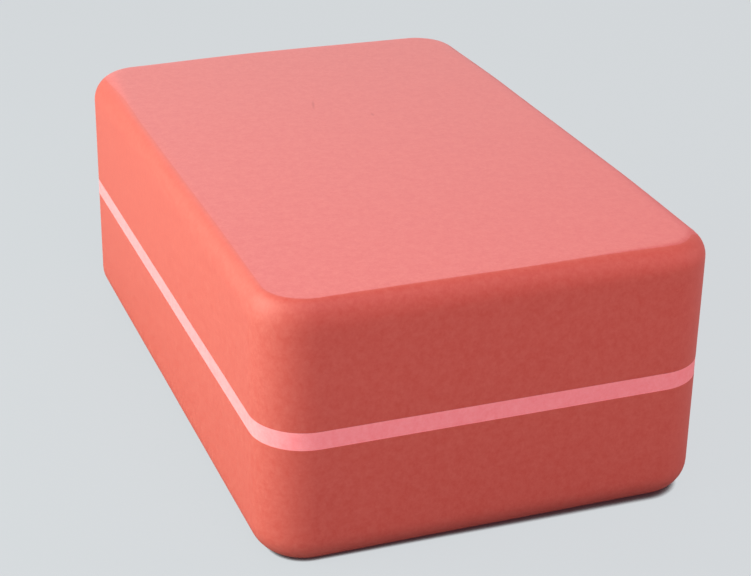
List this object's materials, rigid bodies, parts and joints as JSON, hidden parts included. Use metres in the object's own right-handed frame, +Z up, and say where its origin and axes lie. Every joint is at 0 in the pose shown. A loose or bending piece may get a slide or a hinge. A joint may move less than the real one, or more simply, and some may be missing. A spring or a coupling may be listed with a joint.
{
  "type": "yoga block",
  "caption": "Firm foam yoga block: a brick with rolled edges and rounded corners, glued from thick coral slabs round a thin pink centre sheet; stands flat, on its side or on end.",
  "frame": {"origin": "middle of the underside of the lower slab, with the block lying flat", "axes": "+X across the block's width, +Y along its length, +Z up from the floor"},
  "size_m": [0.15, 0.234, 0.09],
  "materials": {
    "coral_foam": "closed-cell foam, matt, cut and sanded, with fine cells",
    "pink_foam": "closed-cell foam, matt, cut and sanded, with fine cells",
    "adhesive": "thin film of clear contact adhesive, tinted by the foam"
  },
  "bodies": {
    "root": {"lower_slab": "coral_foam", "lower_bond": "adhesive", "centre_sheet": "pink_foam", "upper_bond": "adhesive", "upper_slab": "coral_foam"}
  },
  "joints": []
}
